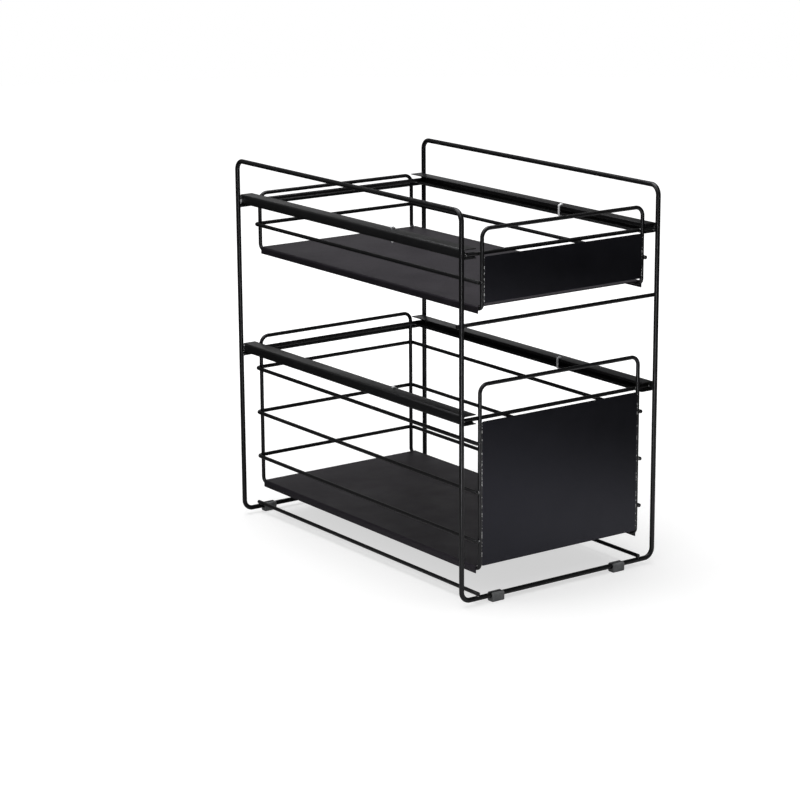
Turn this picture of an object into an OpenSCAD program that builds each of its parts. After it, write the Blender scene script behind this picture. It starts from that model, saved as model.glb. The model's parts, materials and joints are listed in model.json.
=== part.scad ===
/* [Overall size] */
// Width over the two side frames
width = 250; // [232:2:320]
// Depth from the drawer fronts to the backs of the rear feet
depth = 405; // [340:5:480]
// Height from the floor to the top of the side frames
height = 395; // [380:5:460]

/* [Frame wire] */
// Diameter of the wire of the outer frame
frame_wire = 5; // [4:0.5:6]
// Bend radius on the centre line of the frame wire
frame_bend = 10; // [8:1:16]
// Height of the bottom wires above the floor
floor_gap = 4; // [2:0.5:5]

/* [Cross wires] */
// Diameter of the cross wires and of the basket wires
wire = 4; // [3:0.5:4.5]
// Distance of each base wire from the uprights beside it
base_wire_inset = 19.5; // [14:0.5:24]
// How far the base wires run past the middle of the front crossbar
base_wire_front = 2; // [1:0.5:4]
// How far the base wires run past the middle of the rear crossbar
base_wire_back = 2; // [1:0.5:4]
// Gap between the upper tray and the crossbar under it
mid_crossbar_gap = 8.5; // [4:0.5:20]

/* [Rails and runners] */
// Height of the lower pair of rails above the floor
lower_rail_z = 183.2; // [165:0.2:195]
// Distance of the upper pair of rails below the top of the frame
upper_rail_gap = 39.2; // [34:0.2:46]
// Height of a rail
rail_h = 10; // [9.5:0.5:12]
// Width of a rail across its flanges
rail_w = 15; // [13:0.5:16]
// Sheet thickness of the rails and runners
rail_t = 1; // [0.8:0.1:1.2]
// Inner bend radius of the rails and runners
rail_bend = 0.8; // [0.4:0.1:1]
// Play between a runner and its rail
running_gap = 0.2; // [0.1:0.05:0.4]
// How far a runner's flange stays back from the open side of its rail
runner_setback = 1; // [0.5:0.25:2]
// Clearance of a runner's upper edge under the rail's upper bend
runner_headroom = 0.5; // [0.3:0.1:1.5]

/* [Travel straps] */
// Width of a strap along its rail
strap_w = 2.5; // [2:0.5:5]
// Thickness of a strap
strap_t = 1; // [0.6:0.1:1.4]
// Distance of the straps behind the front uprights
strap_setback = 134; // [100:2:170]
// Length of a strap's short arm under its rail
strap_hook = 3; // [2:0.5:6]

/* [Feet] */
// Length of a foot along the crossbar
foot_w = 14.5; // [10:0.5:18]
// Depth of a foot across the crossbar
foot_d = 9; // [8:0.5:12]
// Height of a foot
foot_h = 9.5; // [8:0.5:10]
// Corner radius of a foot
foot_round = 1.5; // [0.5:0.25:2]
// Width of the slot that snaps over the crossbar
foot_slot = 3.6; // [3:0.1:4]
// Distance of the front left foot from the upright beside it
front_left_foot_inset = 42.5; // [34:0.5:90]
// Distance of the front right foot from the upright beside it
front_right_foot_inset = 47.5; // [34:0.5:90]
// Gap between a rear foot and the base wire beside it
rear_foot_gap = 2.75; // [1:0.25:60]

/* [Baskets] */
// Gap between the basket legs and the open side of the rails
basket_gap = 3; // [2:0.25:8]
// Bend radius of the basket wire at the top corners
top_bend = 9; // [7:0.5:12]
// Bend radius of the basket wire under the tray
bottom_bend = 5.5; // [5:0.5:10]
// Bend radius of the side wires at the back
side_bend = 5.5; // [4:0.5:8]
// How far the lower drawer's front stands behind the upper one's
lower_setback = 3; // [0:0.5:10]
// Gap between the lower basket and the rear crossbar that it stops at
stop_gap = 0.3; // [0.2:0.1:1]
// Distance of a side wire's end from the plane of the drawer fronts
side_wire_setback = 0.5; // [0.25:0.25:3]

/* [Trays and panels] */
// Sheet thickness of a tray
tray_t = 1; // [0.8:0.1:1.4]
// Depth of a tray's side flanges
tray_flange = 7.5; // [5:0.5:10]
// Inner bend radius of a tray
tray_bend = 1; // [0.5:0.25:1.25]
// Gap between a tray's front edge and the front legs
tray_front_gap = 1; // [0.5:0.25:3]
// Sheet thickness of a front panel
panel_t = 1; // [0.8:0.1:1.4]
// Corner radius of a front panel
panel_round = 1.5; // [0.5:0.5:4]
// Height of a panel's top edge above the underside of the rails
panel_rise = 1.7; // [0:0.1:2]

/* [Upper drawer] */
// Height of the handle above the underside of the rails
upper_handle = 28.2; // [24:0.2:29]
// Height of the basket's back above the underside of the rails
upper_back = 10; // [9:0.5:24]
// Depth of the basket below the underside of the rails
upper_drop = 49.8; // [40:0.2:52]
// Gap between the tray and the lower edge of the panel
upper_panel_gap = 3.1; // [0.5:0.1:6]

/* [Lower drawer] */
// Height of the handle above the underside of the rails
lower_handle = 38.1; // [28:0.1:60]
// Height of the basket's back above the underside of the rails
lower_back = 15.3; // [9:0.1:30]
// Gap between the tray's flanges and the base wires
lower_clearance = 18; // [6:0.5:40]
// Gap between the tray and the lower edge of the panel
lower_panel_gap = 0.5; // [0.3:0.1:6]

/* [Hidden] */
$fn = 48;

// How far a cut runs past the faces that it opens
overrun = 1;
// Clearance of a snap clip or a welded edge from the wire that it meets
weld_gap = 0.02;
// Clearance of a tray's notch round a bent leg
notch_gap = 0.3;

// Frame: centre lines of the uprights, bottom crossbars and top rails
upright_x = (width - frame_wire) / 2;
front_y = (foot_d - depth) / 2;
back_y = (depth - foot_d) / 2;
bottom_z = floor_gap + frame_wire / 2;
top_z = height - frame_wire / 2;

// Base wires and the middle crossbar lie against the inner side of the frame wire
wire_offset = (frame_wire + wire) / 2;
base_wire_z = bottom_z + wire_offset;
base_wire_x = upright_x - base_wire_inset;
mid_crossbar_y = front_y + wire_offset;

// Rails stand against the inner side of the uprights
rail_web_x = upright_x - frame_wire / 2;
rail_lip_x = rail_web_x - rail_w;
upper_rail_z = height - upper_rail_gap - rail_h;
strap_y = front_y + strap_setback;

// Runners lie on the lower flange of the rails, end below their upper bend and carry the bars
runner_web_x = rail_web_x - rail_t - running_gap;
runner_lip_x = rail_lip_x + runner_setback;
runner_h = rail_h - 2 * rail_t - running_gap - rail_bend - runner_headroom;
bar_rise = 2 * rail_t + running_gap + wire / 2;
bar_half = runner_web_x - rail_t - running_gap;

// Feet
front_left_foot_x = upright_x - front_left_foot_inset;
front_right_foot_x = upright_x - front_right_foot_inset;
rear_foot_x = base_wire_x - wire / 2 - rear_foot_gap - foot_w / 2;

// Baskets, at the upper drawer's place: the handle is foremost, and the lower basket,
// set back, stops at the rear crossbars, which are butted between the uprights
basket_x = rail_lip_x - basket_gap - wire / 2;
basket_front_y = (wire - depth) / 2;
basket_back_y = back_y - wire - stop_gap - lower_setback;
front_bar_y = basket_front_y + wire;
rear_bar_y = basket_back_y - wire;
side_wire_x = basket_x + wire;
side_wire_back_y = basket_back_y + wire;
side_wire_front_y = side_wire_setback - depth / 2;

// Trays lie on the bottom runs of the baskets, panels stand between the front legs
tray_half = basket_x + wire / 2 + tray_t;
tray_front_y = basket_front_y + wire / 2 + tray_front_gap;
tray_back_y = basket_back_y - bottom_bend;
tray_rise = wire / 2 + tray_t;
flange_drop = tray_flange - tray_rise;
panel_back_reach = wire / 2 - panel_t;
panel_half = basket_x - sqrt(pow(wire / 2, 2) - pow(panel_back_reach, 2)) - weld_gap;

// Heights of the bottom runs, and of the side wires as shares of the way down to them
upper_low = upper_rail_z - upper_drop;
lower_low = base_wire_z + wire / 2 + lower_clearance + flange_drop;
mid_crossbar_z = upper_low - flange_drop - mid_crossbar_gap - wire / 2;
side_wire_shares = [0.133, 0.468, 0.803];

function unit(v) = v / norm(v);
function side_of(v) = abs(v.z) > abs(v.x) + abs(v.y) ? [1, 0, 0] : unit(cross([0, 0, 1], v));
function radius_at(r, i) = is_list(r) ? r[i] : r;

// Places an object whose own axes become the directions a, b and c at a point
module placed(a, b, c, point) {
  multmatrix([
    [a.x, b.x, c.x, point.x],
    [a.y, b.y, c.y, point.y],
    [a.z, b.z, c.z, point.z],
    [0, 0, 0, 1]
  ])
    children();
}

// Straight piece of wire
module rod(from, to, d) {
  axis = unit(to - from);
  side = side_of(axis);
  placed(side, cross(axis, side), axis, from)
    cylinder(h = norm(to - from), d = d);
}

// Quarter bend at a corner between the directions u and v
module quarter_bend(corner, u, v, r, d) {
  placed(-v, u, cross(u, v), corner + (v - u) * r)
    rotate_extrude(angle = 90)
      translate([r, 0])
        circle(d = d);
}

// One wire through a row of corners, open or closed, with its bend radius at each corner
module bent_wire(points, r, d, closed = false) {
  n = len(points);
  runs = closed ? n : n - 1;
  for (i = [0 : runs - 1]) {
    a = points[i];
    b = points[(i + 1) % n];
    dir = unit(b - a);
    r_a = closed || i > 0 ? radius_at(r, i) : 0;
    r_b = closed || i < runs - 1 ? radius_at(r, (i + 1) % n) : 0;
    rod(a + dir * r_a, b - dir * r_b, d);
  }
  for (i = [closed ? 0 : 1 : closed ? n - 1 : n - 2]) {
    before = unit(points[i] - points[(i + n - 1) % n]);
    after = unit(points[(i + 1) % n] - points[i]);
    quarter_bend(points[i], before, after, radius_at(r, i), d);
  }
}

// Straight wire across the frame or a basket
module cross_wire(half, y, z) {
  rod([-half, y, z], [half, y, z], wire);
}

// Rectangle from the origin with its left corners rounded, the upper one only on request
module eased_rect(w, h, r, upper = true) {
  difference() {
    square([w, h]);
    square([r, r]);
    if (upper)
      translate([0, h - r])
        square([r, r]);
  }
  translate([r, r])
    circle(r = r);
  if (upper)
    translate([r, h - r])
      circle(r = r);
}

// Channel section: web on the left, open side on the right
module channel_section(w, h, t, r) {
  difference() {
    eased_rect(w, h, r + t);
    translate([t, t])
      eased_rect(w, h - 2 * t, r);
  }
}

// Angle section: web on the left, flange at the bottom
module angle_section(w, h, t, r) {
  difference() {
    eased_rect(w, h, r + t, upper = false);
    translate([t, t])
      eased_rect(w, h, r, upper = false);
  }
}

// Extrudes a section along the depth between two places
module along_depth(from_y, to_y) {
  translate([0, to_y, 0])
    rotate([90, 0, 0])
      linear_extrude(to_y - from_y)
        children();
}

// Draws a part for the left side, or its mirror image for the right side
module on_side(side) {
  if (side < 0)
    children();
  else
    mirror([1, 0, 0])
      children();
}

// One closed wire: two bottom crossbars, four uprights and two top rails
module frame_loop() {
  x = upright_x;
  color("#141416")
    bent_wire([
      [-x, front_y, bottom_z], [x, front_y, bottom_z],
      [x, front_y, top_z], [x, back_y, top_z],
      [x, back_y, bottom_z], [-x, back_y, bottom_z],
      [-x, back_y, top_z], [-x, front_y, top_z]
    ], frame_bend, frame_wire, closed = true);
}

module base_wire(side) {
  x = side * base_wire_x;
  color("#141416")
    rod(
      [x, front_y - base_wire_front, base_wire_z],
      [x, back_y + base_wire_back, base_wire_z],
      wire
    );
}

module mid_crossbar() {
  color("#141416")
    cross_wire(width / 2, mid_crossbar_y, mid_crossbar_z);
}

// Rear crossbar between the uprights, under the ends of a pair of rails
module rear_crossbar(rail_z) {
  color("#141416")
    cross_wire(rail_web_x, back_y, rail_z - wire / 2);
}

// Channel rail, open towards the basket
module rail(side, rail_z) {
  color("#202022")
    on_side(side)
      translate([-rail_web_x, 0, rail_z])
        along_depth(front_y, back_y)
          channel_section(rail_w, rail_h, rail_t, rail_bend);
}

// Clip of bright strip round the open side of a rail, which stops the rear bar
module travel_strap(side, rail_z) {
  arm = rail_w - rail_t - rail_bend;
  color("#d8dade")
    on_side(side)
      translate([-rail_lip_x + strap_t, 0, rail_z - strap_t])
        along_depth(strap_y - strap_w / 2, strap_y + strap_w / 2)
          mirror([1, 0])
            difference() {
              eased_rect(strap_t + arm, rail_h + 2 * strap_t, strap_t);
              translate([strap_t, strap_t])
                square([arm + overrun, rail_h]);
              translate([strap_t + strap_hook, -overrun])
                square([arm, strap_t + 2 * overrun]);
            }
}

// Rubber clip foot that snaps over a bottom crossbar from below
module clip_foot(x, y) {
  bore_r = frame_wire / 2 + weld_gap;
  color("#4a4a4c")
    translate([x - foot_w / 2, y, 0])
      placed([0, 1, 0], [0, 0, 1], [1, 0, 0], [0, 0, 0])
        linear_extrude(foot_w)
          difference() {
            translate([-foot_d / 2, 0])
              eased_block(foot_d, foot_h, foot_round);
            translate([0, bottom_z])
              circle(r = bore_r);
            translate([-foot_slot / 2, bottom_z])
              square([foot_slot, foot_h]);
          }
}

// Rectangle from the origin with all four corners rounded
module eased_block(w, h, r) {
  translate([r, 0])
    square([w - 2 * r, h]);
  translate([0, r])
    square([w, h - 2 * r]);
  for (x = [r, w - r], y = [r, h - r])
    translate([x, y])
      circle(r = r);
}

// One closed wire: front handle, front legs, bottom runs, rear legs and back
module basket_loop(rail_z, handle, back, low) {
  x = basket_x;
  front = basket_front_y;
  rear = basket_back_y;
  color("#141416")
    bent_wire([
      [-x, front, rail_z + handle], [x, front, rail_z + handle],
      [x, front, low], [x, rear, low],
      [x, rear, rail_z + back], [-x, rear, rail_z + back],
      [-x, rear, low], [-x, front, low]
    ], [
      top_bend, top_bend, bottom_bend, bottom_bend,
      top_bend, top_bend, bottom_bend, bottom_bend
    ], wire, closed = true);
}

// Bar of a basket that reaches into both rails
module basket_bar(y, rail_z) {
  color("#141416")
    cross_wire(bar_half, y, rail_z + bar_rise);
}

// Angle runner inside a rail, carrying the ends of both bars
module runner(side, rail_z) {
  color("#2a2a2c")
    on_side(side)
      translate([-runner_web_x, 0, rail_z + rail_t + running_gap])
        along_depth(front_y, rear_bar_y + wire / 2)
          angle_section(runner_web_x - runner_lip_x, runner_h, rail_t, rail_bend);
}

// Tray sheet with a flange folded down over each bottom run, notched for the front legs
module tray(run_z) {
  top = run_z + tray_rise;
  notch_inner = basket_x - wire / 2 - notch_gap;
  notch_outer = tray_half - tray_t;
  notch_back = basket_front_y + bottom_bend + notch_gap;
  color("#3a3a3c")
    difference() {
      translate([0, 0, top])
        placed([0, 0, -1], [1, 0, 0], [0, -1, 0], [-tray_half, tray_back_y, 0])
          linear_extrude(tray_back_y - tray_front_y)
            channel_section(tray_flange, 2 * tray_half, tray_t, tray_bend);
      for (side = [-1, 1])
        translate([
          side * (notch_inner + notch_outer) / 2 - (notch_outer - notch_inner) / 2,
          tray_front_y - overrun,
          top - tray_t - overrun
        ])
          cube([notch_outer - notch_inner, notch_back - tray_front_y + overrun, tray_t + 2 * overrun]);
    }
}

// Front panel welded between the front legs, flush with their front
module panel(rail_z, run_z, gap) {
  low = run_z + tray_rise + gap;
  high = rail_z + panel_rise;
  color("#161618")
    translate([-panel_half, basket_front_y - wire / 2 + panel_t, low])
      rotate([90, 0, 0])
        linear_extrude(panel_t)
          eased_block(2 * panel_half, high - low, panel_round);
}

// Side wire bent round the back of a basket, outside its legs
module side_wire(rail_z, run_z, share) {
  x = side_wire_x;
  z = rail_z - share * (rail_z - run_z);
  color("#141416")
    bent_wire([
      [-x, side_wire_front_y, z], [-x, side_wire_back_y, z],
      [x, side_wire_back_y, z], [x, side_wire_front_y, z]
    ], side_bend, wire);
}

module base_wire_left() { base_wire(-1); }
module base_wire_right() { base_wire(1); }
module rear_crossbar_upper() { rear_crossbar(upper_rail_z); }
module rear_crossbar_lower() { rear_crossbar(lower_rail_z); }
module rail_upper_left() { rail(-1, upper_rail_z); }
module rail_upper_right() { rail(1, upper_rail_z); }
module rail_lower_left() { rail(-1, lower_rail_z); }
module rail_lower_right() { rail(1, lower_rail_z); }
module strap_upper_left() { travel_strap(-1, upper_rail_z); }
module strap_upper_right() { travel_strap(1, upper_rail_z); }
module strap_lower_left() { travel_strap(-1, lower_rail_z); }
module strap_lower_right() { travel_strap(1, lower_rail_z); }
module foot_front_left() { clip_foot(-front_left_foot_x, front_y); }
module foot_front_right() { clip_foot(front_right_foot_x, front_y); }
module foot_rear_left() { clip_foot(-rear_foot_x, back_y); }
module foot_rear_right() { clip_foot(rear_foot_x, back_y); }

// Moves a part of a drawer to the lower drawer's place
module set_back() {
  translate([0, lower_setback, 0])
    children();
}

module upper_basket_loop() { basket_loop(upper_rail_z, upper_handle, upper_back, upper_low); }
module upper_front_bar() { basket_bar(front_bar_y, upper_rail_z); }
module upper_rear_bar() { basket_bar(rear_bar_y, upper_rail_z); }
module upper_runner_left() { runner(-1, upper_rail_z); }
module upper_runner_right() { runner(1, upper_rail_z); }
module upper_tray() { tray(upper_low); }
module upper_panel() { panel(upper_rail_z, upper_low, upper_panel_gap); }
module upper_side_wire() { side_wire(upper_rail_z, upper_low, side_wire_shares[1]); }

module lower_basket_loop() { set_back() basket_loop(lower_rail_z, lower_handle, lower_back, lower_low); }
module lower_front_bar() { set_back() basket_bar(front_bar_y, lower_rail_z); }
module lower_rear_bar() { set_back() basket_bar(rear_bar_y, lower_rail_z); }
module lower_runner_left() { set_back() runner(-1, lower_rail_z); }
module lower_runner_right() { set_back() runner(1, lower_rail_z); }
module lower_tray() { set_back() tray(lower_low); }
module lower_panel() { set_back() panel(lower_rail_z, lower_low, lower_panel_gap); }
module lower_wire(i) { set_back() side_wire(lower_rail_z, lower_low, side_wire_shares[i]); }
module lower_side_wire_top() { lower_wire(0); }
module lower_side_wire_middle() { lower_wire(1); }
module lower_side_wire_bottom() { lower_wire(2); }

frame_loop();
base_wire_left();
base_wire_right();
mid_crossbar();
rear_crossbar_upper();
rear_crossbar_lower();
rail_upper_left();
rail_upper_right();
rail_lower_left();
rail_lower_right();
strap_upper_left();
strap_upper_right();
strap_lower_left();
strap_lower_right();
foot_front_left();
foot_front_right();
foot_rear_left();
foot_rear_right();
upper_basket_loop();
upper_front_bar();
upper_rear_bar();
upper_runner_left();
upper_runner_right();
upper_tray();
upper_panel();
upper_side_wire();
lower_basket_loop();
lower_front_bar();
lower_rear_bar();
lower_runner_left();
lower_runner_right();
lower_tray();
lower_panel();
lower_side_wire_top();
lower_side_wire_middle();
lower_side_wire_bottom();
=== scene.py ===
import json
import math
import bpy
import numpy as np
from mathutils import Matrix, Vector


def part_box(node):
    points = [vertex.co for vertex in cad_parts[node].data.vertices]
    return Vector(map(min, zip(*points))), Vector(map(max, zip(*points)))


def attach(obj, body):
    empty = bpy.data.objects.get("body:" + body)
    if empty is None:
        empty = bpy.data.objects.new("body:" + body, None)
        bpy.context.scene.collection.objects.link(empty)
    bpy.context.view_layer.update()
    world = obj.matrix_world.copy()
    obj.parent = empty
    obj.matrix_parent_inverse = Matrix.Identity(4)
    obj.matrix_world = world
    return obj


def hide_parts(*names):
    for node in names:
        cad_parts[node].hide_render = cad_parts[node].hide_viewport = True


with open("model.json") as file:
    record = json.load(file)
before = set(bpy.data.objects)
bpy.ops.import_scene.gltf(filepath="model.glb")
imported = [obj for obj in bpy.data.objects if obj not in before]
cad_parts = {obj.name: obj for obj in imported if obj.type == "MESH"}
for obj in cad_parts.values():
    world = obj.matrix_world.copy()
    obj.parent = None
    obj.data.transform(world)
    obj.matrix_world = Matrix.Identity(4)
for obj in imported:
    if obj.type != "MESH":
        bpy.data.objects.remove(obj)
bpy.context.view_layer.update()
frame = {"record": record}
record = frame["record"]
bodyOf = {node: body for body, nodes in record["behaviour"]["bodies"].items() for node in nodes}
slotOf = {row["node"]: row["material_slot"] for row in record["subparts"]}
mm = 0.001                                    # shapes are in millimetres, meshes in metres


def boxOf(node):
    # Lowest and highest corner of a node, in millimetres
    low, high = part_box(node)
    return np.array(low) / mm, np.array(high) / mm


def middleOf(node):
    # Middle of a node's box
    low, high = boxOf(node)
    return (low + high) / 2


def unit(vectors):
    # The same directions with length one
    return vectors / np.linalg.norm(vectors, axis=-1, keepdims=True)


def crosswise(direction):
    # A level direction square to this one, which is itself upright or level
    return np.array([1.0, 0, 0]) if abs(direction[2]) > 0.7 else unit(np.cross([0, 0, 1.0], direction))


def tubeFaces(rings, sides, shift=None):
    # Quads round a row of rings; with a shift, the last ring joins the first, turned by so many points
    ring, side = np.meshgrid(np.arange(rings - (shift is None)), np.arange(sides), indexing="ij")
    ahead, there = (ring + 1) % rings, (side + 1) % sides
    turned = np.where(ring + 1 == rings, shift or 0, 0)
    quads = [ring * sides + side, ring * sides + there,
             ahead * sides + (there + turned) % sides, ahead * sides + (side + turned) % sides]
    return np.stack(quads, -1).reshape(-1, 4).tolist()


def cappedTube(points):
    # Rings of points, rings by sides by 3, closed at both ends with one flat face
    rings, sides = points.shape[:2]
    first, last = list(range(sides))[::-1], list(range((rings - 1) * sides, rings * sides))
    return points.reshape(-1, 3), tubeFaces(rings, sides) + [first, last]


def joined(shapes):
    # Several shapes as one
    starts = np.cumsum([0] + [len(points) for points, _ in shapes])
    faces = [[int(corner + start) for corner in face]
             for (_, ownFaces), start in zip(shapes, starts) for face in ownFaces]
    return np.concatenate([points for points, _ in shapes]), faces


def addPiece(name, shape, coat, body, sharp=42.0):
    # A mesh that rides on a body; folds sharper than so many degrees are shaded as edges
    points, faces = shape
    mesh = bpy.data.meshes.new(name)
    mesh.from_pydata((points * mm).tolist(), [], faces)
    mesh.shade_smooth()
    mesh.set_sharp_from_angle(angle=math.radians(sharp))
    mesh.materials.append(coat)
    piece = bpy.data.objects.new(name, mesh)
    bpy.context.scene.collection.objects.link(piece)
    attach(piece, body)
    return piece


def standIn(node, shape, coat):
    # The finished piece that is shown in a CAD node's place
    piece = addPiece(node + "_finished", shape, coat, bodyOf[node])
    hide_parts(node)
    return piece


# Shader maths as Python
class Signal:
    # One output socket; an operator adds the Math node that it stands for
    def __init__(self, tree, socket):
        self.tree, self.socket = tree, socket

    def maths(self, operation, first, second):
        return self.tree.node("ShaderNodeMath", {"operation": operation}, {0: first, 1: second})

    def __add__(self, other):
        return self.maths("ADD", self, other)

    def __radd__(self, other):
        return self.maths("ADD", other, self)

    def __sub__(self, other):
        return self.maths("SUBTRACT", self, other)

    def __rsub__(self, other):
        return self.maths("SUBTRACT", other, self)

    def __mul__(self, other):
        return self.maths("MULTIPLY", self, other)

    def __rmul__(self, other):
        return self.maths("MULTIPLY", other, self)


class Tree:
    # The nodes of one material or of the world
    def __init__(self, owner):
        owner.use_nodes = True
        self.tree = owner.node_tree
        self.tree.nodes.clear()

    def node(self, kind, settings=None, sockets=None, out=0):
        made = self.tree.nodes.new(kind)
        for key, value in (settings or {}).items():
            setattr(made, key, value)
        for key, value in (sockets or {}).items():
            if isinstance(value, Signal):
                self.tree.links.new(value.socket, made.inputs[key])
            else:
                made.inputs[key].default_value = value
        return Signal(self, made.outputs[out]) if len(made.outputs) else None

    def ramp(self, value, low, high):
        # 0 below low, 1 above high, and a straight line between them
        sockets = {"Value": value, "From Min": low, "From Max": high}
        return self.node("ShaderNodeMapRange", {"clamp": True}, sockets)

    def blend(self, share, first, second):
        # Colour that goes from first at share 0 to second at share 1
        return self.node("ShaderNodeMix", {"data_type": "RGBA"}, {0: share, 6: first, 7: second}, 2)

    def noise(self, place, size, detail=2.0):
        # Smooth noise whose bumps are about so many millimetres apart
        sockets = {"Vector": place, "Scale": 1 / (size * mm), "Detail": detail}
        return self.node("ShaderNodeTexNoise", None, sockets)

    def cells(self, place, size, output="Distance"):
        # Cells about so many millimetres wide: the distance to their middle, or a colour for each
        sockets = {"Vector": place, "Scale": 1 / (size * mm)}
        return self.node("ShaderNodeTexVoronoi", None, sockets, output)


def grey(value, warm=0.0):
    return (value * (1 + warm), value, value * (1 - warm), 1)


def tinted(value, tint):
    return tuple(value * share for share in tint) + (1,)


# tone: colour; tint: its red, green and blue shares; shine: roughness; gloss: strength of the mirror
# image; peel: height of the orange peel in millimetres; dust (with painted top light): how much the
# upward faces carry, partly dust and partly painted light on top faces; wear: rubbed streaks; glints: how
# strongly small pale spots show, painted glints on weld metal
neutral, bluish, mauve = (1, 1, 1.04), (0.97, 0.97, 1.22), (1.06, 0.94, 1.15)
coats = {
    "wire_coat": dict(
        tone=0.0055, tint=neutral, shine=0.31, gloss=0.5, peel=0.035, dustAndTopLight=0.1, wear=0, glintPaint=0),
    "rail_coat": dict(
        tone=0.0065, tint=neutral, shine=0.38, gloss=0.5, peel=0.03, dustAndTopLight=0.4, wear=0, glintPaint=0),
    "runner_coat": dict(
        tone=0.008, tint=neutral, shine=0.36, gloss=0.5, peel=0.02, dustAndTopLight=0.1, wear=1, glintPaint=0),
    "tray_coat": dict(
        tone=0.0085, tint=mauve, shine=0.47, gloss=0.45, peel=0.035, dustAndTopLight=0.5, wear=0, glintPaint=0),
    "panel_coat": dict(
        tone=0.004, tint=bluish, shine=0.36, gloss=0.46, peel=0.03, dustAndTopLight=0.1, wear=0, glintPaint=0),
    # The weld coat is paler than the wire coat and carries small pale spots: painted glints on the welds
    "weld_coat": dict(
        tone=0.014, tint=neutral, shine=0.2, gloss=1.0, peel=0.02, dustAndTopLight=0.1, wear=0, glintPaint=0.9),
}
# What all coats share. cloud to spot: widths in millimetres; stretch: scale of the rubbed streaks
# along y; then how strongly each layer shows, with its tone, and how much it changes the roughness
# The dust layer's pale tone on upward faces is partly painted top light; the spot layer's pale tone
# paints glints
layers = dict(cloud=26, peel=1.1, grain=0.25, speck=4, streak=0.8, spot=2.8, stretch=0.03,
              cloudShare=0.15, speckShare=0.3, speckLift=2.6, wornShare=0.5, wornTone=0.06,
              dustAndTopLightShare=0.4, dustAndTopLightTone=0.05, dustAndTopLightWarmth=0.02, glintTone=0.6, grainShare=0.3, bump=0.5,
              cloudRough=0.14, grainRough=0.08, dustRough=0.1, wornRough=0.08)


def powderCoat(name, tone, tint, shine, gloss, peel, dustAndTopLight, wear, glintPaint):
    # Black powder coat: orange peel, a finer grain, slow clouds of gloss, pale specks, dust on upward
    # faces that also paints light on top faces, streaks where it is rubbed and small pale spots that
    # paint glints on weld metal
    material = bpy.data.materials.new(name)
    tree = Tree(material)
    place = tree.node("ShaderNodeTexCoord", out="Object")
    cloud = tree.noise(place, layers["cloud"], detail=3.0)
    peeled = tree.noise(place, layers["peel"])
    grain = tree.noise(place, layers["grain"], detail=1.0)
    speck = 1 - tree.ramp(tree.cells(place, layers["speck"]), 0.03, 0.08)
    normal = tree.node("ShaderNodeNewGeometry", out="Normal")
    upward = tree.node("ShaderNodeSeparateXYZ", None, {0: normal}, 2)
    # Paler upward faces: partly dust, partly painted light falling on top faces
    dustAndTopLightMask = tree.ramp(upward, 0.6, 1.0) * tree.ramp(cloud, 0.3, 0.75) * dustAndTopLight
    streaks = tree.node("ShaderNodeMapping", None, {"Vector": place, "Scale": (1, layers["stretch"], 1)})
    rubbed = tree.ramp(tree.noise(streaks, layers["streak"], detail=3.0), 0.52, 0.68) * wear
    # Small pale spots: painted glints
    paintedGlints = tree.ramp(tree.noise(place, layers["spot"], detail=1.0), 0.55, 0.6) * glintPaint
    darker = tinted(tone * (1 - layers["cloudShare"]), tint)
    lighter = tinted(tone * (1 + layers["cloudShare"]), tint)
    clouded = tree.blend(tree.ramp(cloud, 0.25, 0.75), darker, lighter)
    specked = tree.blend(speck * layers["speckShare"], clouded, grey(tone * layers["speckLift"]))
    worn = tree.blend(rubbed * layers["wornShare"], specked, grey(layers["wornTone"]))
    dustAndTopLightTint = grey(layers["dustAndTopLightTone"], layers["dustAndTopLightWarmth"])
    dustedAndTopLit = tree.blend(dustAndTopLightMask * layers["dustAndTopLightShare"], worn, dustAndTopLightTint)
    colour = tree.blend(paintedGlints, dustedAndTopLit, grey(layers["glintTone"]))
    rough = (cloud - 0.5) * layers["cloudRough"] + (grain - 0.5) * layers["grainRough"]
    rough = rough + dustAndTopLightMask * layers["dustRough"] - rubbed * layers["wornRough"] + shine
    height = peeled + grain * layers["grainShare"]
    bump = tree.node("ShaderNodeBump", None, {
        "Strength": layers["bump"], "Distance": peel * mm, "Height": height})
    shader = tree.node("ShaderNodeBsdfPrincipled", None, {
        "Base Color": colour, "Roughness": rough, "Normal": bump,
        "Specular IOR Level": gloss, "Specular Tint": tinted(1, tint)})
    tree.node("ShaderNodeOutputMaterial", None, {"Surface": shader})
    return material


# spangle: width of a cell; line: length of a fine line; cut: its depth, all three in millimetres;
# slender: how many times longer than wide a line is; dark: colour of the darker cells and lines
zincPlate = dict(tone=0.95, dark=(0.86, 0.88, 0.92), shine=0.3, metal=0.1, spangle=2.2,
                 spangleShare=0.5, line=0.35, lineShare=0.3, slender=12, bump=0.4, cut=0.01,
                 lineRough=0.15)


def zincFinish(name, tone, dark, shine, metal, spangle, spangleShare, line, lineShare, slender,
               bump, cut, lineRough):
    # Bright zinc: faint spangle cells and fine lines from the rolled strip, a little bluer where darker
    material = bpy.data.materials.new(name)
    tree = Tree(material)
    place = tree.node("ShaderNodeTexCoord", out="Object")
    cell = tree.node("ShaderNodeSeparateXYZ", None, {0: tree.cells(place, spangle, "Color")})
    rolled = tree.node("ShaderNodeMapping", None, {"Vector": place, "Scale": (1, slender, 1)})
    lines = tree.noise(rolled, line)
    darkened = cell * spangleShare + lines * lineShare
    colour = tree.blend(darkened, grey(tone), tinted(tone, dark))
    raised = tree.node("ShaderNodeBump", None, {
        "Strength": bump, "Distance": cut * mm, "Height": lines})
    shader = tree.node("ShaderNodeBsdfPrincipled", None, {
        "Base Color": colour, "Metallic": metal, "Normal": raised,
        "Roughness": (lines - 0.5) * lineRough + shine})
    tree.node("ShaderNodeOutputMaterial", None, {"Surface": shader})
    return material


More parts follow.
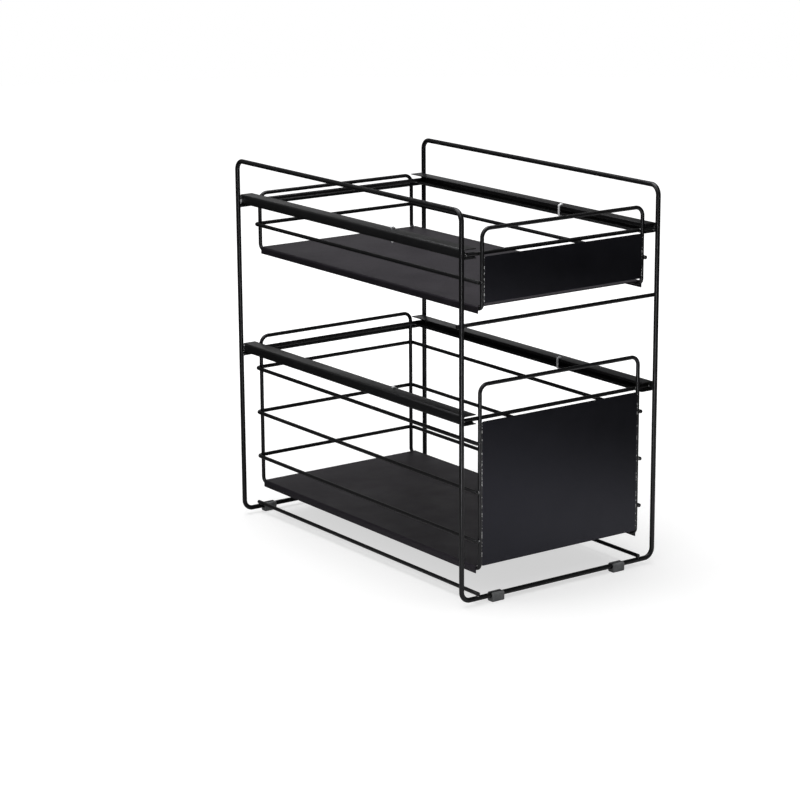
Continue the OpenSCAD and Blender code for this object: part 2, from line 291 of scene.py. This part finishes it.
# mottle, patch, pit: widths in millimetres; lifts: the tone's factors in the dark and the pale of
# the mottle and in the bloom; bloom: how strongly that shows; depth: of pits, in millimetres
footRubber = dict(tone=0.21, warmth=-0.02, lifts=(0.8, 1.2, 1.7), shine=0.62, gloss=0.35,
                  mottle=1.6, patch=5, pit=0.18, bloom=0.3, bump=0.5, depth=0.03, mottleRough=0.2)


def rubberFinish(name, tone, warmth, lifts, shine, gloss, mottle, patch, pit, bloom, bump, depth,
                 mottleRough):
    # Dark grey moulded rubber: matt, mottled, with a paler bloom and fine pits
    material = bpy.data.materials.new(name)
    tree = Tree(material)
    place = tree.node("ShaderNodeTexCoord", out="Object")
    mottled, pits = tree.noise(place, mottle, detail=3.0), tree.noise(place, pit, detail=1.0)
    bloomed = tree.ramp(tree.noise(place, patch), 0.45, 0.75) * bloom
    dark, pale, palest = [grey(tone * lift, warmth) for lift in lifts]
    colour = tree.blend(bloomed, tree.blend(mottled, dark, pale), palest)
    raised = tree.node("ShaderNodeBump", None, {
        "Strength": bump, "Distance": depth * mm, "Height": pits + mottled})
    shader = tree.node("ShaderNodeBsdfPrincipled", None, {
        "Base Color": colour, "Normal": raised, "Specular IOR Level": gloss,
        "Roughness": (mottled - 0.5) * mottleRough + shine})
    tree.node("ShaderNodeOutputMaterial", None, {"Surface": shader})
    return material


finishes = {name: powderCoat(name, **values) for name, values in coats.items()}
finishes["zinc"] = zincFinish("zinc", **zincPlate)
finishes["foot_rubber"] = rubberFinish("foot_rubber", **footRubber)
print("materials made:", len(finishes))


# Round wire
wires = dict(sides=24, arcSteps=12, station=30.0, cut=0.4, cutSteps=4)


def runPlaces(length, first, last):
    # Distances along a straight run; a cut end has places at cut * (1 - cos a), where its rim is rounded
    lip = wires["cut"] * (1 - np.cos(np.linspace(0, math.pi / 2, wires["cutSteps"])))
    inner = np.linspace(0, length, max(2, int(length / wires["station"]) + 1))[1:-1]
    return np.concatenate([lip if first else [0.0], inner, length - lip[::-1] if last else [length]])


def wireLine(corners, bends, closed=False):
    # Centre line of a bent wire with the two directions across it. In a bend the heading is
    # before * cos + after * sin, and the sideways direction keeps its share of the bend's axis and of
    # the inward direction after * cos - before * sin, so it turns with the wire without twisting
    corners = np.array(corners, float)
    count = len(corners)
    radii = np.array(np.broadcast_to(bends, count), float)
    heading = unit(np.roll(corners, -1, 0) - corners)
    order = list(range(count)) if closed else list(range(1, count - 1))
    here = (corners[-1] + corners[0]) / 2 if closed else corners[0]
    final = here if closed else corners[-1]
    ahead = heading[-1] if closed else heading[0]
    side = crosswise(ahead)
    centres, headings, sides = [], [], []
    for turn, corner in enumerate(order + [None]):
        last = corner is None
        target = final if last else corners[corner] - ahead * radii[corner]
        places = runPlaces(np.linalg.norm(target - here), not closed and turn == 0, not closed and last)
        places = places[int(turn > 0):len(places) - int(closed and last)]
        centres.append(here + places[:, None] * ahead)
        headings.append(np.repeat(ahead[None], len(places), 0))
        sides.append(np.repeat(side[None], len(places), 0))
        if last:
            break
        after, r = heading[corner], radii[corner]
        angle = np.linspace(0, math.pi / 2, wires["arcSteps"] + 1)[1:, None]
        axis = np.cross(ahead, after)
        inward = after * np.cos(angle) - ahead * np.sin(angle)
        middle = corners[corner] + (after - ahead) * r
        centres.append(middle - after * r * np.cos(angle) + ahead * r * np.sin(angle))
        headings.append(ahead * np.cos(angle) + after * np.sin(angle))
        sides.append((side @ axis) * axis + (side @ after) * inward)
        side, here, ahead = sides[-1][-1], centres[-1][-1], after
    return np.concatenate(centres), np.concatenate(headings), np.concatenate(sides)


def wireShape(corners, bends, gauge, closed=False):
    # Tube round a bent line: centre + r * (cos a * side + sin a * up), with r drawn in at a cut end
    centres, headings, sides = wireLine(corners, bends, closed)
    ups = np.cross(headings, sides)
    count = wires["sides"]
    angle = np.linspace(0, 2 * math.pi, count, endpoint=False)[None, :, None]
    walked = np.concatenate([[0], np.cumsum(np.linalg.norm(np.diff(centres, axis=0), axis=1))])
    fromEnd = np.minimum(walked, walked[-1] - walked)
    inside = np.zeros(len(walked)) if closed else np.clip(1 - fromEnd / wires["cut"], 0, 1)
    radius = (gauge / 2 - wires["cut"] * (1 - np.sqrt(1 - inside ** 2)))[:, None, None]
    points = centres[:, None] + radius * (np.cos(angle) * sides[:, None] + np.sin(angle) * ups[:, None])
    if not closed:
        return cappedTube(points)
    # The sideways direction comes back turned by a number of quarters, so the last ring joins shifted
    back = math.atan2(sides[0] @ ups[-1], sides[0] @ sides[-1])
    shift = int(round(-back / (2 * math.pi) * count)) % count
    return points.reshape(-1, 3), tubeFaces(len(centres), count, shift)


def straightWire(node):
    # A node that is one straight wire: its line runs through the middle of its box, the long way
    low, high = boxOf(node)
    along = int(np.argmax(high - low))
    start, end = middleOf(node), middleOf(node)
    start[along], end[along] = low[along], high[along]
    return standIn(node, wireShape([start, end], 0, np.min(high - low)), finishes[slotOf[node]])


# Outer frame
frameWire = dict(gauge=5.0, bend=10.0)
low, high = boxOf("frame_loop")
halfGauge = frameWire["gauge"] / 2
postX, frontY, backY = high[0] - halfGauge, low[1] + halfGauge, high[1] - halfGauge
footZ, topZ = low[2] + halfGauge, high[2] - halfGauge
frameCorners = [(-postX, frontY, footZ), (postX, frontY, footZ), (postX, frontY, topZ),
                (postX, backY, topZ), (postX, backY, footZ), (-postX, backY, footZ),
                (-postX, backY, topZ), (-postX, frontY, topZ)]
frameShape = wireShape(frameCorners, frameWire["bend"], frameWire["gauge"], True)
standIn("frame_loop", frameShape, finishes["wire_coat"])
for node in ("base_wire_left", "base_wire_right", "mid_crossbar",
             "rear_crossbar_upper", "rear_crossbar_lower"):
    straightWire(node)
print("frame wires made")


# Folded sheet
sheets = dict(arcSteps=6, edge=0.22, edgeSteps=4)


def foldedStrip(corners, bend, thickness):
    # Outline of a strip folded at its corners: a line through the middle of the sheet, with arcs of
    # radius bend + thickness / 2, moved half a thickness to either side and closed by eased edges
    corners = np.array(corners, float)
    heading = unit(np.diff(corners, axis=0))
    radius, edge = bend + thickness / 2, sheets["edge"]
    line, across = [corners[0] + heading[0] * edge], [heading[0]]
    for corner, before, after in zip(corners[1:-1], heading[:-1], heading[1:]):
        angle = np.linspace(0, math.pi / 2, sheets["arcSteps"] + 1)[:, None]
        line += list(corner + (after - before) * radius - after * radius * np.cos(angle)
                     + before * radius * np.sin(angle))
        across += list(before * np.cos(angle) + after * np.sin(angle))
    line, across = np.array(line + [corners[-1] - heading[-1] * edge]), np.array(across + [heading[-1]])
    normal = np.stack([-across[:, 1], across[:, 0]], 1) * thickness / 2
    turn = np.linspace(0, math.pi / 2, sheets["edgeSteps"])[1:, None]
    rims = []
    for end, outward, sideways in ((line[0], -heading[0], unit(normal[0])),
                                   (line[-1], heading[-1], unit(normal[-1]))):
        flank = sideways * (thickness / 2 - edge)
        curve = [end + flank + edge * (np.cos(turn) * sideways + np.sin(turn) * outward),
                 end - flank + edge * (-np.cos(turn) * sideways + np.sin(turn) * outward)]
        rims.append(np.concatenate([curve[0], curve[1][::-1]]))
    return np.concatenate([line + normal, rims[1], (line - normal)[::-1], rims[0][::-1]])


def drawnAlong(outline, axis, start, end, ease):
    # An outline pushed along an axis; near both ends it draws in by ease * (1 - sin a) at
    # ease * (1 - cos a). Its columns are the two axes that follow this one in the order x, y, z, x
    ahead, behind = np.roll(outline, -1, 0), np.roll(outline, 1, 0)
    area = np.sum(outline[:, 0] * ahead[:, 1] - outline[:, 1] * ahead[:, 0])
    if area < 0:
        outline, ahead, behind = outline[::-1], behind[::-1], ahead[::-1]
    along = unit(ahead - behind)
    outward = np.stack([along[:, 1], -along[:, 0]], 1)
    turn = np.linspace(0, math.pi / 2, sheets["edgeSteps"])
    lip, inset = ease * (1 - np.cos(turn)), ease * (1 - np.sin(turn))
    places = np.concatenate([start + lip, end - lip[::-1]])
    insets = np.concatenate([inset, inset[::-1]])
    flat = outline[None] - insets[:, None, None] * outward[None]
    points = np.zeros((len(places), len(outline), 3))
    points[..., axis] = places[:, None]
    points[..., (axis + 1) % 3], points[..., (axis + 2) % 3] = flat[..., 0], flat[..., 1]
    return cappedTube(points)


def swapped(outline):
    # From columns x, z to columns z, x, the order that a section along y has
    return np.asarray(outline)[:, ::-1]


rails = dict(thickness=1.0, bend=0.8, ease=0.2)
straps = dict(thickness=1.0, bend=0.5, ease=0.18, hook=4.1, head=1.9, dome=1.3, tail=1.1, tailLength=3.4,
              domeAngles=(0, 25, 50, 70, 86))


def webAndLip(low, high):
    # Middle of the upright sheet on the outer side, and the free edges on the inner side
    near, far = sorted((abs(low[0]), abs(high[0])))
    side = np.sign(low[0])
    return side * (far - rails["thickness"] / 2), side * near


def railNode(node):
    # Channel open towards the basket, from its box: lip, web, lip
    low, high = boxOf(node)
    t = rails["thickness"]
    web, lip = webAndLip(low, high)
    bottom, top = low[2] + t / 2, high[2] - t / 2
    outline = foldedStrip([(lip, bottom), (web, bottom), (web, top), (lip, top)], rails["bend"], t)
    shape = drawnAlong(swapped(outline), 1, low[1], high[1], rails["ease"])
    return standIn(node, shape, finishes["rail_coat"])


def runnerNode(node):
    # Angle: web beside the rail's web, flange on the rail's lower lip
    low, high = boxOf(node)
    t = rails["thickness"]
    web, lip = webAndLip(low, high)
    bottom = low[2] + t / 2
    outline = foldedStrip([(lip, bottom), (web, bottom), (web, high[2])], rails["bend"], t)
    shape = drawnAlong(swapped(outline), 1, low[1], high[1], rails["ease"])
    return standIn(node, shape, finishes["runner_coat"])


def lathed(start, along, offsets, radii, sides=16):
    # Turned shape: centre + r * (cos a * side + sin a * up), a ring of each radius at its offset
    along = np.array(along, float)
    side = crosswise(along)
    angle = np.linspace(0, 2 * math.pi, sides, endpoint=False)[None, :, None]
    centres = np.array(start, float) + np.array(offsets)[:, None] * along
    across = np.cos(angle) * side + np.sin(angle) * np.cross(along, side)
    return cappedTube(centres[:, None] + np.array(radii)[:, None, None] * across)


def strapNode(node):
    # Bright clip round the open side of a rail, with a rivet: its head is radius * cos a across and
    # dome * sin a high, and its tail hangs below the hook with a rounded end
    low, high = boxOf(node)
    t, side = straps["thickness"], np.sign(low[0])
    face = min(abs(low[0]), abs(high[0]))
    inner, hook = face + t / 2, face + t + straps["hook"]
    bottom, top = low[2] + t / 2, high[2] - t / 2
    corners = [(side * hook, bottom), (side * inner, bottom), (side * inner, top), (side * hook, top)]
    outline = swapped(foldedStrip(corners, straps["bend"], t))
    band = drawnAlong(outline, 1, low[1], high[1], straps["ease"])
    a = np.radians(straps["domeAngles"])
    x, y = side * (hook - straps["head"]), (low[1] + high[1]) / 2
    heights, radii = t / 2 + straps["dome"] * np.sin(a), straps["head"] * np.cos(a)
    head = lathed((x, y, top), (0, 0, 1), heights, radii)
    length, end = straps["tailLength"] + t / 2, straps["tail"] / 2
    tail = lathed((x, y, bottom), (0, 0, -1), np.append(0, length - end + end * np.sin(a)),
                  np.append(straps["tail"], straps["tail"] - end + end * np.cos(a)))
    return standIn(node, joined([band, head, tail]), finishes["zinc"])


for level in ("upper", "lower"):
    for hand in ("left", "right"):
        railNode("rail_%s_%s" % (level, hand))
        strapNode("strap_%s_%s" % (level, hand))
        runnerNode("%s_runner_%s" % (level, hand))
print("rails, runners and straps made")


# Feet
feet = dict(corner=1.5, topCorner=2.0, bore=2.52, slot=3.6, lip=0.5, ease=0.6)


def arc(centre, radius, start, end, steps=8):
    # Points of a circle between two angles in degrees
    angle = np.radians(np.linspace(start, end, steps))
    return np.array(centre) + radius * np.stack([np.cos(angle), np.sin(angle)], 1)


def footNode(node):
    # Rounded block with a bore and a slot that opens upwards, drawn in the y, z plane and pushed along x
    low, high = boxOf(node)
    r, crown, lip, half = feet["corner"], feet["topCorner"], feet["lip"], feet["slot"] / 2
    y, bottom, top = (low[1] + high[1]) / 2, low[2], high[2]
    width = (high[1] - low[1]) / 2
    opening = math.degrees(math.acos(half / feet["bore"]))
    outline = np.concatenate([
        arc((y - width + r, bottom + r), r, 180, 270),
        arc((y + width - r, bottom + r), r, 270, 360),
        arc((y + width - crown, top - crown), crown, 0, 90),
        arc((y + half + lip, top - lip), lip, 90, 180, steps=5),
        arc((y, footZ), feet["bore"], opening, -180 - opening, steps=28),
        arc((y - half - lip, top - lip), lip, 0, 90, steps=5),
        arc((y - width + crown, top - crown), crown, 90, 180)])
    return standIn(node, drawnAlong(outline, 0, low[0], high[0], feet["ease"]), finishes["foot_rubber"])


for end in ("front", "rear"):
    for hand in ("left", "right"):
        footNode("foot_%s_%s" % (end, hand))
print("feet made")


# Baskets
basketWire = dict(gauge=4.0, topBend=9.0, bottomBend=5.5, sideBend=5.5)
backRise = dict(upper=10.0, lower=15.3)       # of a basket's back above the underside of its rails
trays = dict(thickness=1.0, bend=1.0, notchGap=0.3, edge=0.2, edgeAngle=50, columns=9, rows=15)
panels = dict(corner=1.5, ease=0.25)


def basketLoop(level):
    # Handle, front leg, bottom run, rear leg and back, one closed wire
    low, high = boxOf(level + "_basket_loop")
    r = basketWire["gauge"] / 2
    x, front, rear, handle, run = high[0] - r, low[1] + r, high[1] - r, high[2] - r, low[2] + r
    back = boxOf("rail_%s_left" % level)[0][2] + backRise[level]
    corners = [(-x, front, handle), (x, front, handle), (x, front, run), (x, rear, run),
               (x, rear, back), (-x, rear, back), (-x, rear, run), (-x, front, run)]
    tops, bottoms = [basketWire["topBend"]] * 2, [basketWire["bottomBend"]] * 2
    shape = wireShape(corners, (tops + bottoms) * 2, basketWire["gauge"], True)
    return standIn(level + "_basket_loop", shape, finishes["wire_coat"])


def sideWire(node):
    # Wire round the back and both sides, outside the legs
    low, high = boxOf(node)
    r = basketWire["gauge"] / 2
    x, back, z = high[0] - r, high[1] - r, (low[2] + high[2]) / 2
    corners = [(-x, low[1], z), (-x, back, z), (x, back, z), (x, low[1], z)]
    shape = wireShape(corners, basketWire["sideBend"], basketWire["gauge"])
    return standIn(node, shape, finishes["wire_coat"])


def trayNode(level):
    # Sheet with both sides folded down. The surface is a grid of a bent section by depth; the two
    # faces that the front legs pass through are left out, and it gets its thickness afterwards
    node = level + "_tray"
    low, high = boxOf(node)
    t = trays["thickness"]
    x, top, bottom = high[0] - t / 2, high[2] - t / 2, low[2]
    loopLow, loopHigh = boxOf(level + "_basket_loop")
    notchIn = loopHigh[0] - basketWire["gauge"] - trays["notchGap"]
    notchBack = loopLow[1] + basketWire["gauge"] / 2 + basketWire["bottomBend"] + trays["notchGap"]
    radius = trays["bend"] + t / 2
    fold = arc((-x + radius, top - radius), radius, 180, 90, steps=7)
    across = np.linspace(-notchIn, notchIn, trays["columns"])
    flat = np.stack([across, np.full(len(across), top)], 1)
    left = np.concatenate([[(-x, bottom), (-x, (bottom + top) / 2)], fold])
    section = np.concatenate([left, flat, left[::-1] * (-1, 1)])
    depth = np.concatenate([[low[1], notchBack], np.linspace(notchBack, high[1], trays["rows"])[1:]])
    count = len(section)
    points = np.zeros((len(depth), count, 3))
    points[..., 0], points[..., 1], points[..., 2] = section[:, 0], depth[:, None], section[:, 1]
    row, col = np.meshgrid(np.arange(len(depth) - 1), np.arange(count - 1), indexing="ij")
    corner = row * count + col
    quads = np.stack([corner, corner + 1, corner + count + 1, corner + count], -1)
    gap = (row == 0) & np.isin(col, [len(left) - 1, len(left) + len(flat) - 1])
    piece = standIn(node, (points.reshape(-1, 3), quads[~gap].tolist()), finishes["tray_coat"])
    solid = piece.modifiers.new("thickness", "SOLIDIFY")
    solid.thickness, solid.offset, solid.use_even_offset = t * mm, 0, True
    bevel = piece.modifiers.new("edges", "BEVEL")
    bevel.width, bevel.segments, bevel.limit_method = trays["edge"] * mm, 2, "ANGLE"
    bevel.angle_limit = math.radians(trays["edgeAngle"])
    piece.modifiers.new("shading", "WEIGHTED_NORMAL").keep_sharp = False
    return piece


def panelNode(level):
    # Rectangle with rounded corners, drawn in the z, x plane and pushed through its thickness
    low, high = boxOf(level + "_panel")
    r = panels["corner"]
    places = [((low[2] + r, low[0] + r), 180), ((high[2] - r, low[0] + r), 270),
              ((high[2] - r, high[0] - r), 0), ((low[2] + r, high[0] - r), 90)]
    outline = np.concatenate([arc(centre, r, start, start + 90) for centre, start in places])
    shape = drawnAlong(outline, 1, low[1], high[1], panels["ease"])
    return standIn(level + "_panel", shape, finishes["panel_coat"])


sideWires = {"upper": ["upper_side_wire"],
             "lower": ["lower_side_wire_top", "lower_side_wire_middle", "lower_side_wire_bottom"]}
for level in ("upper", "lower"):
    basketLoop(level)
    straightWire(level + "_front_bar")
    straightWire(level + "_rear_bar")
    trayNode(level)
    panelNode(level)
    for node in sideWires[level]:
        sideWire(node)
print("baskets made")


# Welds. A collar has insets, how far from each wire's middle it starts and ends, and radii at its
# start, its waist and its end; lengths are in millimetres
welds = dict(sides=16, rings=9, rippleRings=6, wave=0.06, ripple=0.1, blunt=0.02, sharp=60)
collars = {
    "base": dict(insets=(1.2, 0.6), radii=(2.3, 1.5, 1.9)),        # base wires on the crossbars
    "mid": dict(insets=(1.4, 0.6), radii=(2.2, 1.5, 1.8)),         # middle crossbar on the uprights
    "rear": dict(insets=(-2.2, 0.8), radii=(1.98, 2.15, 2.45)),    # rear crossbars between the uprights
    "leg": dict(insets=(1.0, 1.0), radii=(1.9, 1.35, 1.9)),        # bars and side wires on the legs
}
barWeld = dict(back=1.2, into=0.3, drop=0.2, radii=(1.96, 2.1, 2.5))    # bar's end on the runner's web
cornerWeld = dict(near=0.6, far=2.6, radii=(1.7, 1.4, 1.7))             # side wire's bend on the rear leg
railBead = dict(aside=0.25, behind=2.2, short=1.2, radius=1.15, ripples=4)
seam = dict(aside=0.3, short=1.0, gauge=1.0, behind=0.25, beadPlace=3.5, beadReach=2.2,
            radius=0.62, ripples=2)
chance = np.random.default_rng(11)            # the same small differences each run


def collar(start, end, startRadius, waist, endRadius):
    # Weld metal between two wires: waist + (end radius - waist) * s squared on either side of the
    # middle, with a low wave round it that differs from weld to weld
    start, end = np.array(start, float), np.array(end, float)
    along = unit(end - start)
    side = crosswise(along)
    up = np.cross(along, side)
    s = np.linspace(-1, 1, welds["rings"])[:, None, None]
    angle = np.linspace(0, 2 * math.pi, welds["sides"], endpoint=False)[None, :, None]
    flare = np.where(s < 0, startRadius, endRadius)
    lobes, phase = chance.integers(2, 4), chance.uniform(0, 2 * math.pi)
    radius = (waist + (flare - waist) * s ** 2) * (1 + welds["wave"] * np.sin(lobes * angle + phase))
    middle = (start + end) / 2 + s * (end - start) / 2
    return cappedTube(middle + radius * (np.cos(angle) * side + np.sin(angle) * up))


def bead(start, end, radius, ripples):
    # Run of weld metal along a seam: a tube whose radius swells to its middle as the root of
    # 1 + blunt - t to the fourth, and ripples along its length
    start, end = np.array(start, float), np.array(end, float)
    along = unit(end - start)
    side = crosswise(along)
    up = np.cross(along, side)
    t = np.linspace(-1, 1, ripples * welds["rippleRings"] + 1)[:, None, None]
    angle = np.linspace(0, 2 * math.pi, welds["sides"], endpoint=False)[None, :, None]
    swell = np.sqrt(np.clip(1 + welds["blunt"] - t ** 4, welds["blunt"], 1))
    phase = chance.uniform(0, 2 * math.pi)
    rippled = welds["ripple"] * np.cos(ripples * math.pi * t + phase)
    width = radius * swell * (1 + rippled + welds["wave"] * np.sin(2 * angle))
    middle = (start + end) / 2 + t * (end - start) / 2
    return cappedTube(middle + width * (np.cos(angle) * side + np.sin(angle) * up))


def neck(start, end, kind):
    # Collar of one kind between the middles of two wires
    start, end = np.array(start, float), np.array(end, float)
    along = unit(end - start)
    first, second = collars[kind]["insets"]
    return collar(start + along * first, end - along * second, *collars[kind]["radii"])


def frameWelds():
    # Collars where the frame's wires meet, and a bead up each end of every rail
    shapes = []
    (baseX, _, baseZ), (_, midY, midZ) = middleOf("base_wire_right"), middleOf("mid_crossbar")
    for side in (-1, 1):
        for y in (frontY, backY):
            shapes.append(neck((side * baseX, y, footZ), (side * baseX, y, baseZ), "base"))
        shapes.append(neck((side * postX, frontY, midZ), (side * postX, midY, midZ), "mid"))
        for level in ("upper", "lower"):
            bar = "rear_crossbar_" + level
            barEnd, z = boxOf(bar)[1][0], middleOf(bar)[2]
            shapes.append(neck((side * barEnd, backY, z), (side * postX, backY, z), "rear"))
            railLow, railHigh = boxOf("rail_%s_right" % level)
            x = side * (railHigh[0] + railBead["aside"])
            bottom, top = railLow[2] + railBead["short"], railHigh[2] - railBead["short"]
            for y in (frontY + railBead["behind"], backY - railBead["behind"]):
                shapes.append(bead((x, y, bottom), (x, y, top), railBead["radius"], railBead["ripples"]))
    return joined(shapes)


def drawerWelds(level):
    # Collars where the basket's wires and runners meet; down each edge of the panel a thin seam with
    # a bead near both ends
    shapes = []
    r = basketWire["gauge"] / 2
    loopLow, loopHigh = boxOf(level + "_basket_loop")
    x, front, rear = loopHigh[0] - r, loopLow[1] + r, loopHigh[1] - r
    webX = boxOf(level + "_runner_right")[1][0] - rails["thickness"] + barWeld["into"]
    for node, legY in ((level + "_front_bar", front), (level + "_rear_bar", rear)):
        _, barY, barZ = middleOf(node)
        barX, lowZ = boxOf(node)[1][0] - barWeld["back"], barZ - barWeld["drop"]
        for side in (-1, 1):
            shapes.append(neck((side * x, legY, barZ), (side * x, barY, barZ), "leg"))
            shapes.append(collar((side * barX, barY, lowZ), (side * webX, barY, lowZ), *barWeld["radii"]))
    for node in sideWires[level]:
        sideX, z = boxOf(node)[1][0] - r, middleOf(node)[2]
        near, far = math.sqrt(0.5) * cornerWeld["near"], math.sqrt(0.5) * cornerWeld["far"]
        for side in (-1, 1):
            shapes.append(neck((side * x, front, z), (side * sideX, front, z), "leg"))
            shapes.append(collar((side * (x + near), rear + near, z), (side * (x + far), rear + far, z),
                                 *cornerWeld["radii"]))
    panelLow, panelHigh = boxOf(level + "_panel")
    y = (panelLow[1] + panelHigh[1]) / 2
    beadY = y + seam["behind"]
    for side in (-1, 1):
        seamX = side * (panelHigh[0] + seam["aside"])
        line = [(seamX, y, panelLow[2] + seam["short"]), (seamX, y, panelHigh[2] - seam["short"])]
        shapes.append(wireShape(line, 0, seam["gauge"]))
        for z in (panelLow[2] + seam["beadPlace"], panelHigh[2] - seam["beadPlace"]):
            start, end = (seamX, beadY, z - seam["beadReach"]), (seamX, beadY, z + seam["beadReach"])
            shapes.append(bead(start, end, seam["radius"], seam["ripples"]))
    return joined(shapes)


def addWelds(name, shape, body):
    addPiece(name, shape, finishes["weld_coat"], body, welds["sharp"])


addWelds("frame_welds", frameWelds(), "frame")
for level in ("upper", "lower"):
    addWelds(level + "_drawer_welds", drawerWelds(level), level + "_drawer")
print("welds made")


# Floor, light and camera
studio = dict(floorRadius=4.0, floorRings=(0.1, 0.25, 0.5, 1.0), floorSides=64, floorTone=0.5,
              poolStart=0.2, poolRadius=1.1, lift=0.61, gloss=0.08, fill=0.2,
              bounceTone=0.86, bounceDim=0.01, bouncePlace=(0.1, -0.32, 0), bounceReach=0.8)


def makeFloor():
    # A disc whose rings lie at radius * share; its camera-only glow rises outwards as the light falls off
    rings, sides = len(studio["floorRings"]), studio["floorSides"]
    turn = np.linspace(0, 2 * math.pi, sides, endpoint=False)
    share, angle = np.meshgrid(studio["floorRings"], turn, indexing="ij")
    radius = studio["floorRadius"] * share
    points = np.stack([radius * np.cos(angle), radius * np.sin(angle), 0 * share], -1).reshape(-1, 3)
    faces = [face[::-1] for face in tubeFaces(rings, sides)] + [list(range(sides))]
    mesh = bpy.data.meshes.new("floor")
    mesh.from_pydata(points.tolist(), [], faces)
    floor = bpy.data.objects.new("floor", mesh)
    bpy.context.scene.collection.objects.link(floor)
    material = bpy.data.materials.new("floor")
    tree = Tree(material)
    place = tree.node("ShaderNodeTexCoord", out="Object")
    distance = tree.node("ShaderNodeVectorMath", {"operation": "LENGTH"}, {0: place}, 1)
    seen = tree.node("ShaderNodeLightPath", out="Is Camera Ray")
    mirrored = tree.node("ShaderNodeLightPath", out="Is Glossy Ray")
    pool = tree.ramp(distance, studio["poolStart"], studio["poolRadius"])
    glow = pool * (1 - studio["lift"]) + studio["lift"]
    # In mirror images the floor carries a painted pool of light: bright in front of the object only, like
    # a table in a dark room
    sockets = {0: place, 1: studio["bouncePlace"]}
    offset = tree.node("ShaderNodeVectorMath", {"operation": "SUBTRACT"}, sockets)
    reach = tree.node("ShaderNodeVectorMath", {"operation": "LENGTH"}, {0: offset}, 1)
    near, far = grey(studio["bounceTone"]), grey(studio["bounceDim"])
    bounce = tree.blend(tree.ramp(reach, 0, studio["bounceReach"]), near, far)
    tone = tree.blend(mirrored, grey(studio["floorTone"]), bounce)
    matt = tree.node("ShaderNodeBsdfDiffuse", None, {"Color": tone})
    lit = tree.node("ShaderNodeEmission", None, {"Color": grey(1.0), "Strength": seen * glow})
    shader = tree.node("ShaderNodeAddShader", None, {0: matt, 1: lit})
    tree.node("ShaderNodeOutputMaterial", None, {"Surface": shader})
    mesh.materials.append(material)


def makeWorld():
    # White where the camera or a clear material looks, a share of that in mirror images, dim as a lamp
    world = bpy.data.worlds.new("studio")
    bpy.context.scene.world = world
    tree = Tree(world)
    rays = "ShaderNodeLightPath"
    seen = tree.node(rays, out="Is Camera Ray") + tree.node(rays, out="Is Transmission Ray")
    mirrored = tree.node(rays, out="Is Glossy Ray")
    strength = seen + mirrored * studio["gloss"] + (1 - seen) * (1 - mirrored) * studio["fill"]
    shader = tree.node("ShaderNodeBackground", None, {"Color": grey(1.0), "Strength": strength})
    tree.node("ShaderNodeOutputWorld", None, {"Surface": shader})


# Each lamp: where it stands and what it looks at in metres, its two sides, and its power
lamps = {
    "overhead": dict(place=(-0.12, 0.16, 1.7), aim=(0, 0, 0), size=(1.5, 1.5), power=25.0),
    "front": dict(place=(-0.9, -1.2, 1.5), aim=(0, 0, 0.2), size=(1.2, 0.8), power=4.0),
    "left": dict(place=(-1.6, 0.5, 1.2), aim=(0, 0, 0.2), size=(1.0, 1.0), power=5.0),
    "floorStrip": dict(place=(-0.75, -1.05, 0.045), aim=(-0.58, -0.81, 6.0), size=(0.12, 1.4), power=5.5),
    "rear": dict(place=(0.62, 1.0, 0.43), aim=(0, 0, 0.2), size=(0.9, 0.3), power=0.36),
}


def facing(place, aim):
    # Turn of a lamp or camera at place that looks at aim: back towards z, level towards x
    back = unit(np.array(place, float) - np.array(aim, float))
    level = unit(np.cross([0, 0, 1.0], back)) if abs(back[2]) < 0.999 else np.array([1.0, 0, 0])
    rows = np.stack([level, np.cross(back, level), back], 1)
    return Matrix.Translation(place) @ Matrix(rows.tolist()).to_4x4()


def makeLamps():
    for name, lamp in lamps.items():
        light = bpy.data.lights.new(name, "AREA")
        light.shape, light.energy = "RECTANGLE", lamp["power"]
        light.size, light.size_y = lamp["size"]
        holder = bpy.data.objects.new(name, light)
        holder.matrix_world = facing(lamp["place"], lamp["aim"])
        holder.visible_camera = False
        bpy.context.scene.collection.objects.link(holder)


# The camera stands in front to the left, about twice as high as the frame; angles are in degrees,
# the lens and its sensor in millimetres, the rest in metres
viewer = dict(place=(-1.540325, -2.082377, 0.807685), turn=-35.5273, tilt=75.7827, roll=-0.3737,
              lens=114.371, sensor=36.0, clipStart=0.05, clipEnd=50.0)


def makeCamera():
    camera = bpy.data.cameras.new("viewer")
    camera.lens, camera.sensor_width = viewer["lens"], viewer["sensor"]
    camera.clip_start, camera.clip_end = viewer["clipStart"], viewer["clipEnd"]
    holder = bpy.data.objects.new("viewer", camera)
    turns = [Matrix.Rotation(math.radians(viewer[key]), 4, axis)
             for key, axis in (("turn", "Z"), ("tilt", "X"), ("roll", "Z"))]
    holder.matrix_world = Matrix.Translation(viewer["place"]) @ turns[0] @ turns[1] @ turns[2]
    bpy.context.scene.collection.objects.link(holder)
    bpy.context.scene.camera = holder


makeFloor()
makeWorld()
makeLamps()
makeCamera()
bpy.context.scene.view_settings.view_transform = "Standard"
print("floor, light and camera made")
